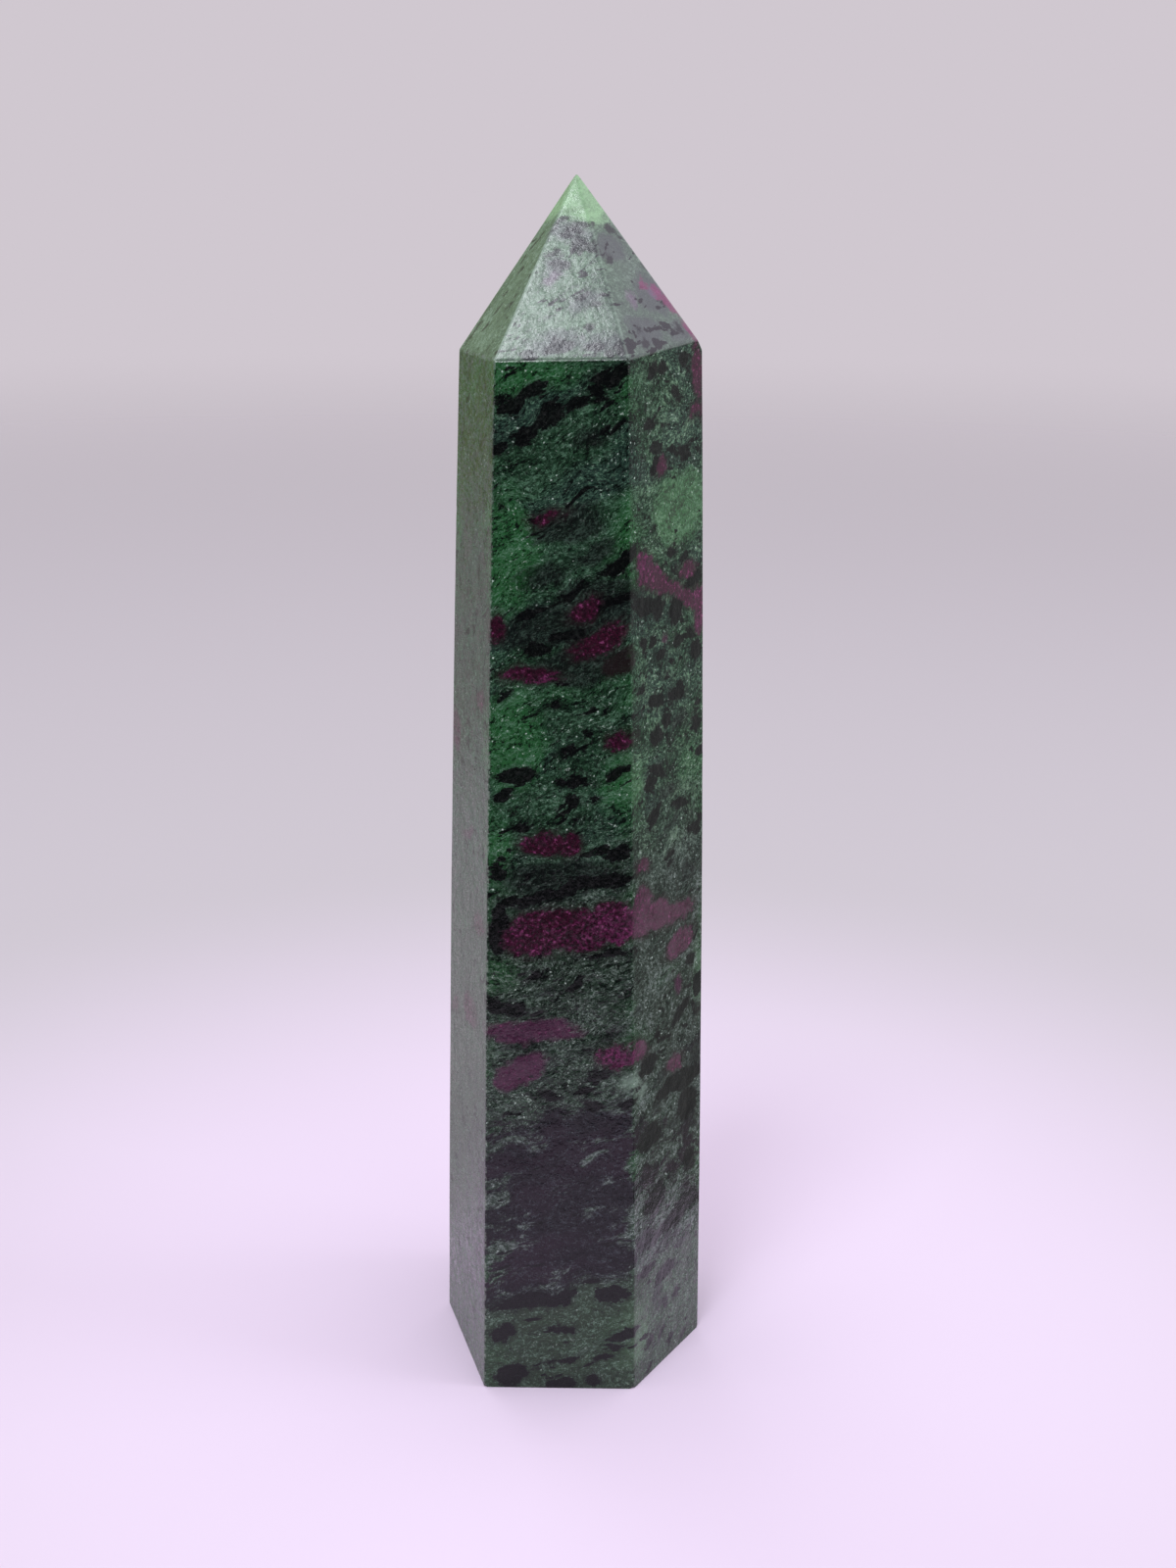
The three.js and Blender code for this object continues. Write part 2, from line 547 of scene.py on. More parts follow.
def grain_field(grains, where):
    """How deep a place lies inside the nearest grain, in mm: the largest of size * (1 - r).

    r is the distance from a grain's middle, measured in its own half axes. A ball gradient
    gives 1 - r / REACH, which stops at 0.
    """
    field = None
    for side, across, height, long, short, tilt in listed(grains):
        right, up, out = side_axes(side)
        turn = Matrix((right, up, out)).transposed() @ Matrix.Rotation(math.radians(tilt), 3, "Z")
        values = {
            "Vector": where,
            "Location": on_side(side, across, height),
            "Rotation": turn.to_euler(),
            "Scale": Vector((long, short, 0.5 * (long + short))) * REACH,
        }
        local = rock.add("ShaderNodeMapping", {"vector_type": "TEXTURE"}, values)
        ball = rock.add("ShaderNodeTexGradient", {"gradient_type": "SPHERICAL"}, {0: local}, out=1)
        size = min(long, short)
        depth = ball.math("MULTIPLY_ADD", ball, REACH * size, (1 - REACH) * size)
        field = depth if field is None else field.or_more(depth)
    return field


# %% [markdown]
# ## Zoisite
#
# Seen close, green zoisite is a felt of short pale fibres in a darker ground. Its tone varies as
# much from one millimetre to the next as from one centimetre to the next, so the noise that
# chooses the tone keeps nearly the same strength at every size. Where the green reaches a long
# edge it is painted a glowing emerald, for light that passes through the thin corner. The facets
# of the point were ground but hardly polished; their colours are painted much paler, as painted
# light for the light that falls on them from above and for their sheen. On the right side the
# pale grains are painted lighter, as painted light for the light from that side.

# %% Where the green is clear, and where the dark sheet lies
CLEAR_GREEN = {
    FRONT: (
        (-8.0, 116.0, 3.2, 6.5, 0), (-7.5, 92.5, 4.0, 5.5, 0), (-6.2, 137.7, 5.2, 2.4, 0),
        (-9.5, 77.0, 1.8, 3.6, 0), (6.5, 86.0, 2.4, 4.0, 0), (-10.5, 4.0, 1.6, 3.6, 0),
        (8.0, 8.0, 3.0, 4.5, 0), (-9.6, 62.0, 1.8, 1.8, 0),
    ),
    RIGHT: (
        (3.0, 120.5, 6.0, 4.0, 0), (8.4, 55.0, 1.6, 4.0, 0),
    ),
    BACK_RIGHT: (
        (2.0, 52.0, 5.0, 6.0, 0),
    ),
    BACK: (
        (-3.0, 70.0, 5.0, 6.0, 0),
    ),
    BACK_LEFT: (
        (5.0, 118.0, 4.0, 7.0, 0),
    ),
}
veils = rock.noise(lensed, 3.2, detail=5.0, roughness=0.85)
clear_green = (grain_field(CLEAR_GREEN, moved) + (veils - 0.5) * 6.0).rise(-1.6, 1.0) * 0.85
layer = streak + (veils - 0.5) * 12.0
in_sheet = layer.rise(10.5, 13.5) * layer.rise(40.0, 37.0) * x.rise(-15.0, -12.0)
on_right = x.rise(6.0, 9.5)

# %% Green felt, from its dark ground up
EMERALD = paint(38, 94, 49)
MOSS = paint(29, 57, 38)
SLATE = paint(35, 54, 50)
DEEP = paint(7, 15, 12)
SAGE = paint(65, 102, 77)
LIT_RIGHT_SAGE = paint(132, 168, 132)
ASH = paint(112, 120, 120)
DRAB = paint(39, 53, 43)
DRAB_SAGE = paint(82, 102, 86)
FOOT_MOSS = paint(46, 63, 45)
LIT_FACET_DEEP = paint(76, 89, 83)  # paler copies for the facets: painted light for the light on them and their sheen
LIT_FACET_MOSS = paint(92, 114, 97)
PALE_PATCH_AND_LIT_FACET_SAGE = paint(133, 157, 140)

patches = rock.noise(lensed, 9.0, detail=3.0, roughness=0.55)
grain = rock.noise(joined(x / 1.4, y / 1.4, streak), 0.42, detail=2.0, roughness=0.85)
tone = veils * 0.48 + grain * 0.52
# painted light: the green glows emerald near the long edges, for light through the thin corner; the
# patches add real emerald zones
emerald_and_edge_glow = (near_edge * 0.7 + (patches - 0.5) * 4.0).rise(0.3, 1.2) * 0.8
lower = streak.rise(82.0, 62.0) * (0.4 + 0.6 * streak.rise(8.0, 15.0))
at_foot = streak.rise(13.0, 9.5)
ashen = (in_sheet * 0.9).or_more(on_right * streak.rise(72.0, 62.0) * streak.rise(8.0, 16.0) * 0.9)
green = rock.blend(patches.rise(0.50, 0.38) * 0.7, MOSS, SLATE)
green = rock.blend(lower * 0.8, green, DRAB)
green = rock.blend(emerald_and_edge_glow.or_more(clear_green) * (1 - 0.45 * lower - 0.3 * at_foot), green, EMERALD)
# painted light: on the facets each tone turns to its paler copy, less so on the left facet
low = rock.blend(on_facet * (1 - 0.4 * x.rise(-9.0, -12.0)), DEEP, LIT_FACET_DEEP)
middle = rock.blend(on_facet, green, LIT_FACET_MOSS)
# painted light: the pale grains on the right side are lighter, as that side is lit more
high = rock.blend(on_right * 0.85, SAGE, LIT_RIGHT_SAGE)
high = rock.blend(lower * 0.8, high, DRAB_SAGE)
high = rock.blend(ashen, high, ASH)
high = rock.blend(on_facet, high, PALE_PATCH_AND_LIT_FACET_SAGE)
zoisite = rock.blend(tone.rise(0.38, 0.51), low, middle)
zoisite = rock.blend(tone.rise(0.50, 0.66) * 0.85, zoisite, high)
zoisite = rock.blend(at_foot * 0.65, zoisite, FOOT_MOSS)
# painted light: clear green on the right side lifted towards the lighter green
zoisite = rock.blend(on_right * clear_green * 0.20, zoisite, LIT_RIGHT_SAGE)

# %% Pale fibres, dark seams and painted glints
FIBRE = paint(100, 138, 114)
ASH_FIBRE = paint(136, 146, 142)
LIT_FACET_FIBRE = paint(176, 200, 182)
PAINTED_GLINT = paint(206, 222, 212)


def hairs(slant, turn, spacing, stretch, thin):
    """Fine curling lines, 0 to 1, along the level lines of a noise drawn out in one direction.

    The line runs where the noise crosses 1/2 and fades out where |noise - 1/2| reaches thin.
    The slant is in degrees and the turn about the upright axis in radians.
    """
    values = {"Vector": ragged, "Rotation": (0.4, math.radians(slant), turn), "Scale": (1 / stretch, 1, 1)}
    drawn = rock.add("ShaderNodeMapping", {"vector_type": "POINT"}, values)
    return abs(rock.noise(drawn, spacing, detail=1.0) - 0.5).rise(thin, 0.0)


fibre = hairs(25, 0.35, 0.6, 2.8, 0.032).or_more(hairs(-42, -0.5, 0.5, 2.4, 0.026))
fibre = fibre * tone.rise(0.42, 0.58)
fibre_colour = rock.blend(lower.or_more(ashen) * 0.8, FIBRE, ASH_FIBRE)
fibre_colour = rock.blend(on_facet, fibre_colour, LIT_FACET_FIBRE)
seam = hairs(12, 1.1, 1.0, 2.2, 0.030) * tone.rise(0.60, 0.42)
zoisite = rock.blend(seam * (0.7 - 0.4 * on_facet), zoisite, low)
zoisite = rock.blend(fibre * (0.75 - 0.35 * on_facet), zoisite, fibre_colour)
# painted glints: tiny bright specks and dashes, painted highlights of light caught by cleavage planes
painted_glints = rock.cells(place, 1.1).rise(0.15, 0.07) * grain.rise(0.50, 0.58)
painted_glints = painted_glints.or_more(hairs(62, 0.9, 1.5, 2.6, 0.016) * grain.rise(0.56, 0.64) * 0.7)
zoisite = rock.blend(painted_glints * (0.85 - 0.45 * at_foot.or_more(on_facet)), zoisite, PAINTED_GLINT)

# %% [markdown]
# ## Amphibole
#
# The black mineral comes in three ways: as the crisp lenses placed here, as smaller ones strewn by
# lensed noise, and as dark clouds where it lies just under the surface of the green. Low on the
# front a broad sheet of it, mixed with purple corundum dust, makes the foot of the tower dark.

# %% Black lenses, placed
BLACK_LENSES = {
    FRONT: (
        (-8.0, 134.4, 1.9, 1.0, 10), (-5.0, 135.2, 1.5, 0.8, 15), (4.2, 137.3, 2.2, 0.9, 25),
        (-8.9, 128.8, 1.2, 0.7, 30), (-5.7, 130.9, 1.8, 0.9, 32), (-3.2, 132.4, 1.8, 1.0, 20),
        (0.2, 134.0, 1.8, 0.6, 30), (2.4, 135.6, 1.2, 0.6, 30), (4.3, 131.2, 1.0, 0.5, 10),
        (-9.0, 121.7, 0.7, 0.6, 0), (1.2, 116.0, 0.5, 0.8, 0), (5.2, 114.8, 2.8, 0.9, 30),
        (-0.8, 111.2, 3.2, 0.5, 26), (-5.0, 108.8, 2.6, 0.5, 22), (4.6, 110.3, 2.6, 0.7, 25),
        (-0.6, 106.4, 2.3, 0.6, 32), (-4.4, 104.5, 1.6, 0.9, 10), (-8.5, 98.4, 1.0, 0.8, 5),
        (-7.2, 88.6, 2.5, 1.2, 10), (0.2, 91.3, 1.4, 0.7, 12), (5.6, 88.7, 1.8, 0.5, 30),
        (0.3, 87.4, 1.7, 0.8, 15), (-8.7, 85.6, 1.7, 0.5, 22), (-0.2, 84.6, 1.1, 0.6, 12),
        (-6.6, 81.6, 1.2, 0.6, 8), (6.0, 78.3, 2.0, 1.2, 10), (-9.4, 74.6, 1.3, 0.9, 10),
        (3.0, 74.0, 4.6, 1.2, 12), (-4.0, 71.6, 4.8, 0.9, 8), (-9.3, 68.0, 1.3, 3.6, -4),
        (5.3, 64.2, 2.7, 0.5, 3), (-5.8, 61.7, 1.8, 0.6, 8), (-8.4, 57.2, 2.6, 1.1, -8),
        (0.4, 59.7, 2.0, 0.6, 24), (3.6, 47.4, 1.7, 0.7, 16), (3.8, 43.1, 1.2, 0.6, 5),
        (7.3, 43.4, 1.3, 0.6, 8), (-6.5, 13.6, 4.2, 1.1, 9), (-1.6, 14.0, 2.4, 0.9, 20),
        (5.8, 14.6, 2.1, 1.0, 26), (6.9, 8.3, 2.3, 0.8, 20), (6.2, 6.4, 1.4, 0.5, 12),
        (-9.3, 8.8, 1.9, 1.2, 5), (-1.4, 9.2, 2.0, 0.5, 12), (-0.8, 4.6, 2.8, 0.35, 20),
        (-1.5, 0.8, 2.2, 1.2, 5), (-8.0, 2.0, 2.2, 1.8, 20), (3.0, 134.6, 0.8, 0.5, 20),
        (-2.3, 97.0, 0.8, 0.5, 0), (3.5, 97.3, 0.6, 0.5, 0), (1.8, 93.4, 0.6, 0.6, 0),
        (2.9, 84.5, 0.6, 0.5, 0), (0.0, 82.2, 0.9, 0.5, 10), (-8.9, 76.7, 0.8, 0.5, 0),
        (2.0, 50.9, 1.1, 0.6, 12), (-2.4, 44.0, 1.2, 0.6, 0), (1.8, 45.2, 1.3, 0.6, 10),
        (3.7, 1.3, 0.8, 0.5, 0), (5.3, 4.3, 0.9, 0.4, 20),
    ),
    RIGHT: (
        (-3.6, 137.8, 1.2, 0.8, 0), (4.2, 138.6, 1.2, 0.9, 0), (2.0, 134.3, 1.4, 0.8, 0),
        (-4.2, 131.7, 1.1, 0.8, 0), (-3.0, 128.4, 1.3, 0.8, 0), (4.2, 127.0, 1.7, 0.9, -5),
        (6.6, 110.5, 2.2, 1.1, 25), (-6.4, 109.4, 2.6, 1.4, 0), (1.8, 107.2, 2.0, 1.6, 0),
        (6.4, 101.2, 1.5, 1.4, -20), (-2.7, 102.2, 1.1, 0.6, 0), (-3.2, 96.2, 2.2, 1.0, 0),
        (1.8, 96.4, 2.0, 1.1, 22), (-3.7, 92.2, 1.8, 1.2, 20), (6.6, 91.4, 1.8, 0.8, -5),
        (-3.6, 87.1, 2.1, 0.8, -10), (-5.1, 85.6, 1.4, 1.0, 0), (7.8, 87.5, 1.4, 0.8, 0),
        (-4.3, 81.7, 2.0, 1.1, 15), (2.3, 80.9, 2.0, 1.0, -20), (6.2, 77.0, 1.7, 1.1, 10),
        (-0.1, 75.0, 1.4, 0.7, 0), (5.6, 58.4, 1.2, 1.1, 0), (7.6, 53.6, 1.5, 1.8, 10),
        (2.8, 51.6, 2.4, 1.0, 18), (-6.0, 47.4, 2.0, 1.3, 0), (2.6, 41.6, 6.2, 1.5, 0),
        (4.6, 37.2, 3.4, 2.6, 0), (-5.6, 36.4, 3.0, 1.9, 10), (-4.4, 26.8, 3.2, 1.8, 24),
        (5.3, 28.5, 1.8, 1.8, 0), (2.0, 21.5, 6.0, 1.6, 4), (-6.5, 16.8, 2.2, 0.9, 0),
        (-1.6, 13.6, 3.0, 1.1, 8), (-0.9, 137.4, 0.9, 0.7, 0), (-1.0, 130.9, 1.0, 0.6, 0),
        (-5.8, 131.6, 0.7, 0.5, 0), (7.9, 127.4, 0.9, 0.7, 0), (0.5, 115.3, 1.2, 0.6, 0),
        (4.0, 114.2, 1.2, 0.7, 0), (1.3, 112.8, 0.9, 0.7, 0), (-3.3, 108.8, 1.6, 1.3, 0),
        (-6.8, 104.5, 1.0, 0.9, 0), (-4.6, 104.5, 0.9, 0.8, 0), (4.6, 104.2, 0.9, 0.8, 0),
        (2.3, 103.1, 1.0, 0.6, 0), (-7.4, 98.7, 1.1, 0.5, 0), (-0.8, 99.4, 0.9, 0.5, 0),
        (-1.0, 94.0, 1.2, 1.3, 0), (7.8, 78.3, 1.1, 0.6, 0), (0.3, 73.6, 1.0, 0.5, 0),
        (-2.4, 4.7, 1.2, 0.5, 40), (1.7, 9.2, 1.0, 0.5, 35), (-1.5, 8.9, 0.9, 0.5, 35),
        (-5.6, 5.3, 0.9, 0.45, 35), (4.4, 1.2, 0.9, 0.4, 35), (0.8, 2.2, 0.9, 0.4, 30),
        (-5.6, 1.3, 0.8, 0.35, 20),
    ),
}
CLOUDS = {
    FRONT: (
        (2.2, 130.3, 2.5, 1.2, 20), (0.0, 111.5, 3.0, 1.3, 20), (-4.0, 109.2, 3.0, 1.1, 20),
        (-3.0, 71.5, 5.0, 1.5, 8), (-3.0, 59.5, 2.3, 0.8, 8), (-6.0, 51.5, 3.0, 0.8, 5),
        (5.5, 52.8, 2.3, 0.9, 25), (-0.8, 119.6, 4.6, 1.9, 20), (2.5, 116.6, 3.6, 1.4, 25),
        (-3.5, 113.2, 3.6, 1.2, 18), (-2.0, 107.6, 8.0, 3.0, 14), (2.5, 109.6, 6.5, 3.4, 16),
        (0.5, 102.4, 6.5, 2.6, 10), (-1.0, 74.6, 8.0, 2.4, 6),
    ),
    RIGHT: (
        (4.6, 71.2, 1.7, 1.3, 0), (8.2, 71.0, 1.0, 1.2, 0), (-8.0, 55.7, 1.0, 0.6, 0),
        (7.0, 50.5, 1.4, 1.0, 0), (-1.9, 50.5, 1.2, 1.1, 0), (-2.6, 44.3, 1.6, 0.9, 0),
        (6.5, 43.5, 2.2, 1.1, 0), (0.5, 36.0, 1.6, 0.9, 0), (0.1, 27.7, 0.9, 1.1, 0),
        (-6.0, 21.5, 2.6, 1.5, 5), (3.0, 17.0, 2.6, 0.8, 0), (-3.5, 11.5, 1.5, 1.2, 0),
        (-2.6, 9.6, 1.5, 0.6, 0), (-3.2, 6.2, 1.0, 0.6, 0), (2.5, 93.0, 2.4, 1.2, 10),
        (-1.0, 84.0, 2.6, 1.0, 0),
    ),
    FRONT_FACET: (
        (-0.6, 153.3, 3.2, 1.8, 0), (-3.0, 149.3, 1.6, 1.8, 0), (1.2, 145.6, 2.6, 1.4, 25),
        (-2.6, 141.2, 4.0, 1.5, 5), (2.6, 141.0, 3.4, 1.2, 10),
    ),
    RIGHT_FACET: (
        (3.0, 146.0, 3.8, 3.0, 0), (-1.0, 151.6, 3.0, 2.0, 0), (-2.4, 142.0, 4.0, 2.2, 0),
        (5.0, 141.8, 2.6, 1.4, 0),
    ),
}
BLACK = paint(4, 5, 7)
PITCH = paint(24, 28, 27)
SHADOW = paint(12, 15, 16)
SHADOW_LIGHT = paint(46, 60, 54)
FACET_PAINTED_GREY = paint(84, 82, 92)

fray = rock.noise(lensed, 0.9, detail=4.0, roughness=0.7)
placed = grain_field(BLACK_LENSES, ragged)
placed_black = (placed + (fray - 0.5) * 1.9).rise(-0.14, 0.04)
cloud = (grain_field(CLOUDS, ragged) + (veils - 0.5) * 3.5).rise(-0.5, 0.7)
cloud = cloud.or_more(placed.rise(-0.8, 0.1) * 0.5)
cloud_colour = rock.blend(tone.rise(0.50, 0.64).or_more(fibre * 0.9), SHADOW, SHADOW_LIGHT)
# painted light: clouds on the facets in a paler grey
cloud_colour = rock.blend(on_facet, cloud_colour, FACET_PAINTED_GREY)

# %% Black lenses, strewn
strewn_noise = rock.noise(rock.vector("ADD", lensed, (31.0, 5.0, 12.0)), 1.5, detail=3.0, roughness=0.55)
bands = rock.noise(joined(x / 9.0, y / 9.0, streak), 5.0, detail=2.0)
behind = axes(place)[1].rise(-2.0, 6.0)
more_here = behind * 0.03 + on_facet * x.rise(4.0, 8.0) * 0.045
strewn = (strewn_noise + (bands - 0.5) * 0.30 + more_here).rise(0.635, 0.665)
black = placed_black.or_more(strewn)
black_colour = rock.blend((tone.rise(0.56, 0.68) * 0.5).or_more(fibre * 0.6), BLACK, PITCH)
print("lenses placed by hand:", len(listed(BLACK_LENSES)))

# %% The dark sheet low on the front
DUSK = paint(11, 9, 16)
DUSK_RED = paint(27, 15, 27)
WISP = paint(84, 92, 98)
wisps = rock.noise(lensed, 3.2, detail=6.0, roughness=0.68)
sheet = in_sheet * (wisps + 0.16 * on_right + 0.10 * x.rise(-6.5, -9.5)).rise(0.66, 0.56)
dusk_colour = rock.blend(patches.rise(0.45, 0.6), DUSK, DUSK_RED)
dusk_colour = rock.blend((tone.rise(0.54, 0.68) * 0.4).or_more(fibre * 0.6), dusk_colour, WISP)

# %% [markdown]
# ## Ruby
#
# The rubies are cracked grains: crimson to purple, with a fine dark net of amphibole through
# them, and they fade into the green where they lie under it. Some are dense, with a strong net,
# and some are smooth and dull, so each list has its own colour.

# %% Rubies, placed
RUBIES = {
    FRONT: (
        (-3.5, 120.6, 1.9, 0.7, 20), (-9.8, 107.3, 1.1, 1.7, 0), (0.9, 109.3, 2.0, 1.1, 25),
        (3.2, 105.6, 3.5, 1.5, 25), (-5.6, 100.9, 3.2, 1.0, 3), (-3.8, 79.2, 2.4, 1.5, 0),
        (-0.6, 79.0, 1.6, 1.6, 0), (6.2, 93.0, 1.7, 1.1, 12), (-4.2, 66.7, 4.6, 3.0, 4),
        (0.6, 67.3, 4.8, 2.6, 4), (5.8, 68.4, 3.4, 3.0, 14), (6.4, 50.0, 2.9, 1.5, 10),
    ),
    RIGHT: (
        (-2.2, 126.0, 1.3, 1.0, 0), (7.6, 136.4, 1.0, 3.6, 8), (7.0, 132.0, 1.7, 0.8, 20),
        (-5.9, 113.6, 2.5, 1.7, -35), (-2.8, 111.7, 2.8, 1.4, -20), (1.2, 110.3, 3.0, 1.1, -10),
        (4.6, 108.3, 2.6, 1.1, -28), (7.6, 106.0, 1.6, 2.2, -20), (5.0, 112.0, 2.2, 1.2, -5),
        (-7.3, 75.4, 1.7, 1.2, -20), (-7.4, 69.0, 2.8, 3.4, 0), (-3.6, 68.0, 3.4, 1.9, -8),
        (1.6, 66.5, 4.4, 1.6, -8), (2.6, 62.0, 4.0, 1.6, 8), (-8.0, 50.2, 2.2, 1.4, -20),
        (0.9, 44.8, 2.3, 1.4, 0),
    ),
    RIGHT_FACET: (
        (1.7, 147.2, 0.9, 1.0, 0), (4.4, 146.4, 1.2, 1.5, 20), (6.2, 144.6, 1.3, 2.0, 20),
        (7.4, 141.8, 1.2, 2.0, 15),
    ),
    BACK_RIGHT: (
        (-3.5, 131.0, 2.8, 1.2, -15), (-6.0, 107.5, 3.4, 1.8, -22), (2.0, 101.0, 2.4, 1.2, -10),
        (0.5, 68.0, 4.6, 2.2, -14), (4.0, 38.0, 2.6, 1.6, -20),
    ),
    BACK: (
        (-4.0, 122.0, 3.0, 1.4, -26), (3.5, 96.0, 3.8, 2.0, -20), (-5.0, 83.5, 1.6, 1.1, -18),
        (2.0, 57.0, 4.4, 1.8, -22), (-5.5, 31.0, 3.0, 1.7, -18),
    ),
    BACK_LEFT: (
        (1.0, 127.5, 2.2, 1.1, -8), (-3.0, 89.0, 3.6, 1.8, -12), (4.5, 73.0, 2.4, 1.3, 0),
        (-4.5, 46.0, 4.0, 2.0, -10), (3.0, 20.0, 2.6, 1.4, 0),
    ),
    LEFT: (
        (8.4, 66.6, 3.0, 1.8, 20), (3.6, 52.4, 3.8, 2.0, 10), (-6.0, 89.0, 2.6, 2.6, 0),
        (-5.5, 50.0, 2.4, 0.9, 20), (7.5, 97.0, 2.2, 1.3, 15),
    ),
}
DULL_RUBIES = {
    FRONT: (
        (-5.0, 53.6, 6.6, 1.6, 2), (-6.3, 48.0, 3.5, 2.1, 34), (-8.4, 46.4, 1.8, 2.1, 0),
        (-4.6, 49.6, 1.8, 0.9, 5),
    ),
    RIGHT: (
        (1.8, 55.6, 1.3, 1.4, 0), (-1.5, 104.2, 0.9, 0.6, 0),
    ),
    FRONT_FACET: (
        (-3.0, 148.1, 1.0, 0.9, 0),
    ),
    RIGHT_FACET: (
        (-1.9, 145.9, 1.2, 0.9, 0), (3.8, 146.4, 2.0, 1.2, 0),
    ),
    LEFT: (
        (1.5, 77.0, 3.6, 0.8, 25),
    ),
    BACK: (
        (-2.0, 112.0, 3.0, 1.6, -20),
    ),
    BACK_LEFT: (
        (0.0, 108.0, 3.4, 1.8, -10),
    ),
    BACK_RIGHT: (
        (-2.0, 87.0, 3.0, 1.6, -10),
    ),
}
CRIMSON = paint(58, 13, 37)
MAGENTA = paint(92, 32, 72)
ROSE = paint(150, 74, 122)
DUSTY_ROSE = paint(142, 92, 122)
WINE = paint(26, 10, 20)
RIM = paint(34, 22, 26)
MULBERRY = paint(78, 34, 64)
PLUM = paint(40, 24, 40)
LIT_FACET_PINK = paint(136, 92, 138)
UMBER = paint(31, 22, 24)

motes = rock.noise(place, 0.5, detail=2.0, roughness=0.7)
worms = abs(rock.noise(ragged, 0.75, detail=2.0, roughness=0.6) - 0.5).rise(0.06, 0.0)
ruby_depth = grain_field(RUBIES, ragged)
ruby = (ruby_depth + (fray - 0.5) * 2.2).rise(-0.25, 0.35)
under_green = x.rise(8.0, 10.0) * streak.rise(78.0, 72.0) * (0.1 + veils.rise(0.62, 0.42))
ruby = ruby * (1 - 0.40 * under_green.or_less(1.0))
dull_depth = grain_field(DULL_RUBIES, ragged)
dull = (dull_depth + (fray - 0.5) * 1.4).rise(-0.4, 0.5)
rim = ruby_depth.rise(-1.0, 0.1)
ruby_colour = rock.blend((patches + motes * 0.5).rise(0.70, 0.90), CRIMSON, MAGENTA)
ruby_colour = rock.blend(motes.rise(0.59, 0.70) * (0.62 + 0.3 * on_right), ruby_colour, ROSE)
ruby_colour = rock.blend(motes.rise(0.54, 0.36) * 0.8, ruby_colour, WINE)
ruby_colour = rock.blend(worms * 0.75, ruby_colour, WINE)
ruby_colour = rock.blend((on_right * 0.12).or_more(under_green * 0.42), ruby_colour, DUSTY_ROSE)
dull_colour = rock.blend((tone.rise(0.56, 0.42) * 0.6).or_more(worms * 0.4), MULBERRY, PLUM)
dull_colour = rock.blend(motes.rise(0.58, 0.72) * 0.4, dull_colour, ROSE)
# painted light: dull rubies paler on the facets
dull_colour = rock.blend(on_facet, dull_colour, LIT_FACET_PINK)
UMBER_PATCH = {FRONT: ((5.4, 102.8, 2.6, 1.5, 35),)}
umber = (grain_field(UMBER_PATCH, ragged) + (fray - 0.5) * 1.4).rise(-0.3, 0.4)
PALE_PATCHES = {
    FRONT: (
        (7.6, 46.0, 1.9, 1.4, 10),
    ),
    RIGHT: (
        (-8.6, 45.5, 1.6, 1.6, 0),
    ),
    BACK: (
        (2.0, 40.0, 2.6, 1.4, -20),
    ),
}
pale = (grain_field(PALE_PATCHES, ragged) + (veils - 0.5) * 3.0).rise(-0.8, 1.2)
print("rubies placed by hand:", len(listed(RUBIES) + listed(DULL_RUBIES)))

# %% Grey-purple blotches on the facets
BLOTCHES = {
    FRONT_FACET: (
        (-1.1, 157.9, 0.4, 0.35, 0), (-2.9, 154.0, 0.9, 0.4, 60), (-2.0, 154.8, 0.8, 0.4, 20),
        (0.5, 154.4, 1.4, 0.5, 10), (1.7, 154.8, 0.5, 0.35, 0), (-0.4, 153.6, 1.1, 0.6, 0),
        (-0.8, 152.7, 0.9, 0.4, 0), (0.9, 151.9, 1.5, 0.8, 20), (2.6, 152.2, 0.4, 0.7, 0),
        (-3.1, 150.9, 0.8, 0.5, 0), (-2.5, 149.6, 1.2, 0.8, 0), (0.8, 146.2, 1.2, 0.6, 30),
        (3.4, 146.4, 0.6, 0.5, 0), (2.7, 145.0, 0.8, 0.5, 10), (1.7, 142.5, 0.6, 0.5, 0),
        (0.1, 141.8, 0.7, 0.5, 0), (-2.2, 140.9, 1.8, 1.1, 10), (2.0, 140.8, 1.5, 0.8, 30),
        (5.5, 140.8, 1.0, 0.8, 0), (3.9, 140.0, 0.9, 0.7, 0), (-5.4, 139.9, 1.5, 0.8, 0),
    ),
    RIGHT_FACET: (
        (1.0, 153.6, 1.5, 0.7, -25), (2.6, 152.4, 0.6, 0.5, 0), (-2.2, 150.5, 0.9, 0.6, 0),
        (4.0, 149.5, 0.6, 0.6, 0), (-4.2, 142.3, 1.0, 0.6, 0), (-4.0, 140.8, 0.9, 0.6, 0),
        (4.5, 142.0, 1.0, 0.9, 0),
    ),
    LEFT_FACET: (
        (0.7, 144.6, 1.4, 0.4, 60), (-4.2, 141.4, 2.0, 0.5, 60), (-0.2, 152.0, 1.4, 0.4, 65),
        (-1.3, 149.6, 1.0, 0.4, 60), (0.2, 148.6, 0.8, 0.4, 60),
    ),
}
BLOTCH = paint(46, 40, 52)
blotch = (grain_field(BLOTCHES, ragged) + (fray - 0.5) * 1.7).rise(-0.25, 0.20)

# %% [markdown]
# ## The stone, put together
#
# The minerals are laid over each other as they lie in the rock: green, the dark sheet, the dull
# rubies, the black lenses and the bright rubies. Towards the very tip the colour turns to a
# pale mint green. Last come a painted highlight along the ridges of the point, and the hand
# finish: fine scuffs over the left side, painted there with a mottled sheen. The polish is good
# on ruby and zoisite and a little duller on amphibole, and fine pits keep it from being a mirror.

# %% Colour of the minerals together
MINT = paint(150, 189, 146)

colour = rock.blend(pale * 0.6, zoisite, PALE_PATCH_AND_LIT_FACET_SAGE)
colour = rock.blend(sheet, colour, dusk_colour)
colour = rock.blend(cloud * (0.85 - 0.15 * on_facet), colour, cloud_colour)
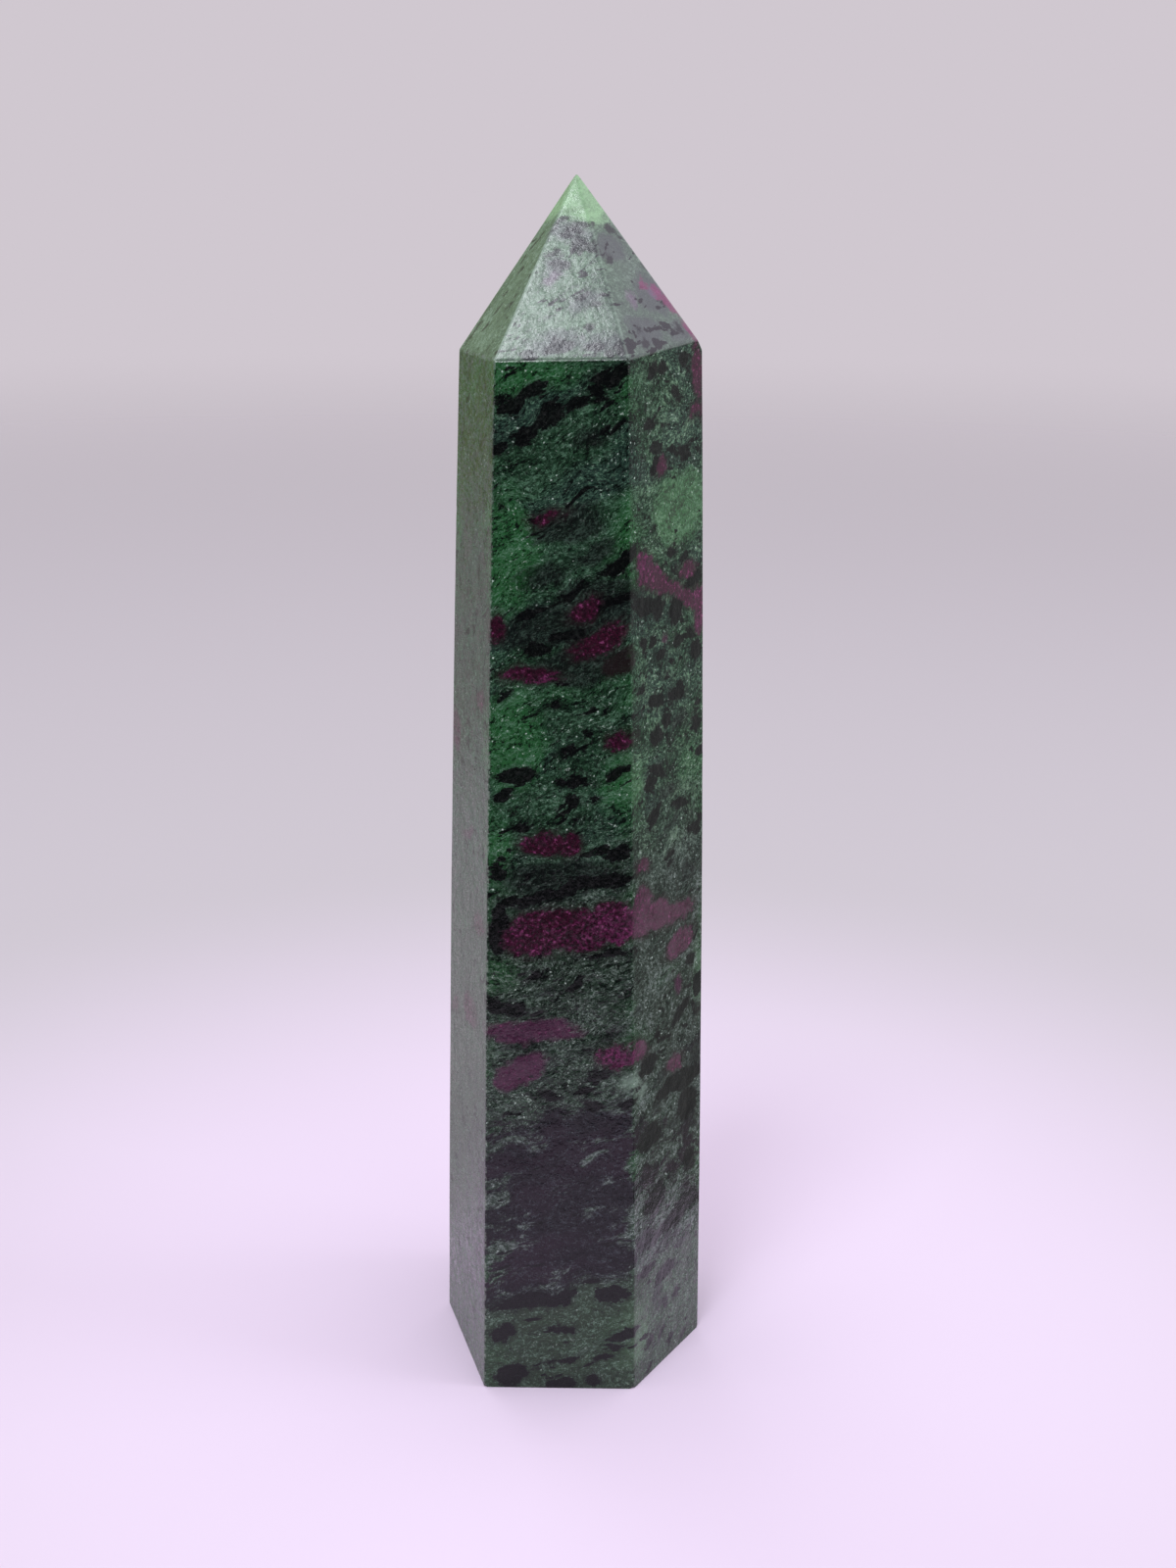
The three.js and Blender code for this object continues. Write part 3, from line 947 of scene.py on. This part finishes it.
# darker towards the right of the facets: partly their grey-purple tint, partly painted shade where less
# sheen falls
colour = rock.blend(on_facet * x.rise(0.5, 6.5) * 0.48, colour, FACET_PAINTED_GREY)
colour = rock.blend(umber * 0.9, colour, UMBER)
colour = rock.blend(rim * (1 - on_facet) * 0.6, colour, RIM)
colour = rock.blend(dull * (0.9 - 0.55 * on_facet), colour, dull_colour)
colour = rock.blend(black * 0.96, colour, rock.blend(on_facet, black_colour, BLOTCH))
cap = (z + (veils - 0.5) * 3.0).rise(153.8, 156.2)
colour = rock.blend(cap * (0.72 + 1.5 * (tone - 0.5)), colour, MINT)
colour = rock.blend(blotch * on_facet * 0.85, colour, BLOTCH)
# painted light: rubies paler and rosier on the facets
colour = rock.blend(ruby * (0.95 - 0.15 * on_facet), colour, rock.blend(on_facet * 0.6, ruby_colour, ROSE))

# %% Painted highlight on the ridges, and scuffs with a painted sheen
RIDGE_HIGHLIGHT = paint(188, 206, 194)
# a pale grey that paints the mottled sheen on the left side
PAINTED_SHEEN = paint(168, 176, 168)

# painted highlight along the ridges of the point, strongest on the lower left
ridge_highlight = near_ridge.rise(0.20, 0.80) * on_facet * tone.rise(0.36, 0.50) * (1 - cap)
ridge_highlight = ridge_highlight * (0.40 + 0.40 * (x + y).rise(-9.0, -16.0))
colour = rock.blend(ridge_highlight, colour, RIDGE_HIGHLIGHT)
across, inwards, upright = axes(place)
scuff_and_sheen_noise = rock.noise(joined(across, inwards * 0.5, upright), 0.55, detail=2.0, roughness=0.8)
# scuffs on the left side: real in the roughness below, painted sheen in the colour
graze_and_sheen = on_left * (0.60 + 0.40 * upright.rise(105.0, 85.0))
# painted light: darker and paler speckle on the left side only, a painted mottled sheen
colour = rock.blend(graze_and_sheen * scuff_and_sheen_noise.rise(0.50, 0.38) * 0.45, colour, DEEP)
colour = rock.blend(graze_and_sheen * scuff_and_sheen_noise.rise(0.48, 0.62) * 0.38, colour, PAINTED_SHEEN)

# %% Polish
GOOD_POLISH = 0.12

pits = rock.cells(place, 0.45).rise(0.24, 0.10) * rock.noise(place, 0.9).rise(0.48, 0.56)
dulled = 0.12 * tone.rise(0.40, 0.60) + 0.26 * scuff_and_sheen_noise.rise(0.50, 0.68) + 0.30 * pits
roughness = GOOD_POLISH + dulled * (1 - 0.5 * on_facet) + 0.07 * on_facet + 0.05 * black
roughness = roughness + 0.25 * graze_and_sheen * scuff_and_sheen_noise.rise(0.46, 0.58)
swells = rock.noise(place, 5.0, detail=5.0, roughness=0.62)  # what the lap left uneven
relief = swells * (4.2 - 2.6 * on_facet) + tone * (0.45 - 0.25 * on_facet) - pits * 0.2
bumped = rock.add("ShaderNodeBump", {}, {"Strength": 1.0, "Distance": 0.1 * MM, "Height": relief})
shader = rock.add(
    "ShaderNodeBsdfPrincipled",
    {},
    {"Base Color": colour, "Roughness": roughness, "IOR": 1.42, "Normal": bumped},
)
skin.materials.append(rock.finish("ShaderNodeOutputMaterial", shader))
print("nodes in the stone's material:", len(rock.tree.nodes))

# %% [markdown]
# ## Floor and light
#
# A plain pale floor, faintly lilac, that fades into the pale room. A soft box in front of and
# above the stone gives the sheen on its front facet, three weaker ones stand round it, and the
# room itself lights the rest. A polished side shows what it faces. So dark cloth lies and hangs
# in front and to the right, seen by nothing but reflections, and keeps those sides deep, as a
# dark room behind a camera does. On the left the cloth is pale near the stone and darker farther
# off, because the left side mirrors the floor beyond it: the foot sees near floor, the top far.

# %% Floor
FLOOR_RADIUS = 3.0
LILAC = paint(226, 209, 231)
CHALK = paint(192, 185, 192)  # farther out, where less light falls


def disc(name, radius, rings=24, around=96):
    """A flat disc: points at radius * (ring / rings)^2 round the origin."""
    turn = np.linspace(0, 2 * np.pi, around, endpoint=False)
    far = (radius * (np.arange(1, rings + 1) / rings) ** 2)[:, None]
    points = np.stack([far * np.cos(turn), far * np.sin(turn), 0 * far * turn], -1)
    corner = np.arange(rings * around).reshape(rings, around)
    beside = np.roll(corner, -1, axis=1)
    quads = np.stack([corner[:-1], corner[1:], beside[1:], beside[:-1]], -1).reshape(-1, 4)
    hub = np.stack([np.full(around, rings * around), corner[0], beside[0]], -1)
    points = np.concatenate([points.reshape(-1, 3), [[0, 0, 0]]])
    mesh = bpy.data.meshes.new(name)
    mesh.from_pydata(points, [], quads.tolist() + hub.tolist())
    return bpy.data.objects.new(name, mesh)


floor = disc("floor", FLOOR_RADIUS)
bpy.context.scene.collection.objects.link(floor)

cloth = Recipe(bpy.data.materials.new("pale_floor"))
floor_place = cloth.add("ShaderNodeTexCoord", {}, {}, out="Object")
far_out = cloth.vector("LENGTH", floor_place, out="Value")
tint = cloth.blend(far_out.rise(0.04, 0.20), LILAC, CHALK)
matte = cloth.add("ShaderNodeBsdfDiffuse", {}, {"Color": tint})
clear = cloth.add("ShaderNodeBsdfTransparent", {}, {})
fading = cloth.add("ShaderNodeMixShader", {}, {0: far_out.rise(0.4, 1.6), 1: matte, 2: clear})
floor.data.materials.append(cloth.finish("ShaderNodeOutputMaterial", fading))

# %% The room
WALL = paint(208, 200, 208)
ROOM_LIGHT = (0.99, 0.97, 1.0, 1.0)

room = Recipe(bpy.data.worlds.new("room"))
bpy.context.scene.world = room.holder
way = room.add("ShaderNodeTexCoord", {}, {}, out="Generated")
to_right = room.add("ShaderNodeSeparateXYZ", {}, {0: way}, out=0)
to_back = room.add("ShaderNodeSeparateXYZ", {}, {0: way}, out=1)
upwards = room.add("ShaderNodeSeparateXYZ", {}, {0: way}, out=2)
brightness = (
    0.08
    + 0.44 * to_right.rise(-0.10, 0.80)
    + 0.26 * to_right.rise(0.10, -0.70)
    + 0.18 * to_back.rise(-0.90, 0.10)
    + 0.20 * upwards.rise(0.00, 0.60)
    + 0.42 * upwards.rise(0.30, 0.95)
)
light = room.add("ShaderNodeBackground", {}, {"Color": ROOM_LIGHT, "Strength": brightness})
seen = room.add("ShaderNodeBackground", {}, {"Color": WALL, "Strength": 1.0})
straight = room.add("ShaderNodeLightPath", {}, {}, out="Is Camera Ray")
either = room.add("ShaderNodeMixShader", {}, {0: straight, 1: light, 2: seen})
room.finish("ShaderNodeOutputWorld", either)

# %% Soft boxes
COOL_WHITE = (0.95, 1.0, 1.04)


def soft_box(name, aim, azimuth, elevation, distance, size, radiance):
    """A square lamp that faces aim from a direction. Its power is pi * radiance * area."""
    lamp = bpy.data.lights.new(name, "AREA")
    lamp.shape = "RECTANGLE"
    lamp.color = COOL_WHITE
    lamp.size, lamp.size_y = size
    lamp.energy = math.pi * radiance * size[0] * size[1]
    turn, lift = math.radians(azimuth), math.radians(elevation)
    back = Vector((math.cos(turn) * math.cos(lift), math.sin(turn) * math.cos(lift), math.sin(lift)))
    box = bpy.data.objects.new(name, lamp)
    facing = back.to_track_quat("Z", "Y").to_matrix().to_4x4()
    box.matrix_world = Matrix.Translation(Vector(aim) + back * distance) @ facing
    bpy.context.scene.collection.objects.link(box)
    return box


AIM = (0, -0.008, 0.150)  # the middle of the point's facets
BOXES = (
    # name, azimuth and elevation in degrees, distance, size, radiance
    ("front_box", -115, 63, 0.75, (0.21, 0.21), 17.2),
    ("fill_box", -60, 46, 0.75, (0.30, 0.30), 0.9),
    ("right_box", -5, 20, 0.80, (0.40, 0.40), 3.0),
    ("back_box", 115, 55, 0.80, (0.40, 0.40), 1.5),
)
for name, *settings in BOXES:
    soft_box(name, AIM, *settings)
print("soft boxes:", len(BOXES))

# %% Dark cloth that only reflections see
def dark_cloth(name, start, end, near, far, height, radiance, tint=(1, 1, 1, 1)):
    """A strip that lies on the floor from near to far, then rises to height, over an arc.

    start and end are directions in degrees; the points are a profile (distance, height) turned
    about the upright axis.
    """
    turn = np.radians(np.linspace(start, end, 40))
    distance = np.concatenate([np.linspace(near, far, 12), [far, far]])[:, None]
    lift = np.concatenate([np.full(12, 0.0006), [height / 2, height]])[:, None]
    points = np.stack([distance * np.cos(turn), distance * np.sin(turn), lift + 0 * turn], -1)
    corner = np.arange(points[..., 0].size).reshape(points.shape[:2])
    quads = np.stack([corner[:-1, :-1], corner[1:, :-1], corner[1:, 1:], corner[:-1, 1:]], -1)
    mesh = bpy.data.meshes.new(name)
    mesh.from_pydata(points.reshape(-1, 3), [], quads.reshape(-1, 4).tolist())
    felt = Recipe(bpy.data.materials.new(name))
    glow = felt.add("ShaderNodeEmission", {}, {"Color": tint, "Strength": radiance})
    mesh.materials.append(felt.finish("ShaderNodeOutputMaterial", glow))
    cloth_piece = bpy.data.objects.new(name, mesh)
    cloth_piece.visible_camera = False
    cloth_piece.visible_diffuse = False
    cloth_piece.visible_shadow = False
    cloth_piece.visible_transmission = False
    bpy.context.scene.collection.objects.link(cloth_piece)
    return cloth_piece


CLOTHS = (
    # name, start and end in degrees, near, far, height, radiance, tint
    ("dark_cloth_front", -150, -45, 0.13, 1.2, 0.45, 0.04),
    ("dark_cloth_right", -45, 80, 0.05, 1.2, 0.25, 0.27),
    ("dark_cloth_near_left", 100, 140, 0.022, 0.085, 0.001, 0.52, (1.0, 0.95, 1.02, 1)),
    ("dark_cloth_mid_left", 100, 140, 0.086, 0.28, 0.001, 0.63, (1.0, 0.94, 1.02, 1)),
    ("dark_cloth_left", 100, 140, 0.29, 0.80, 0.001, 0.40, (1.0, 0.93, 0.95, 1)),
    ("dark_cloth_behind", 95, 145, 0.81, 1.2, 0.6, 0.30, (0.80, 1.02, 0.52, 1)),
)
for strip in CLOTHS:
    dark_cloth(*strip)
print("strips of cloth:", len(CLOTHS))

# %% Plain colour rendering
bpy.context.scene.view_settings.view_transform = "Standard"
bpy.context.scene.view_settings.look = "None"
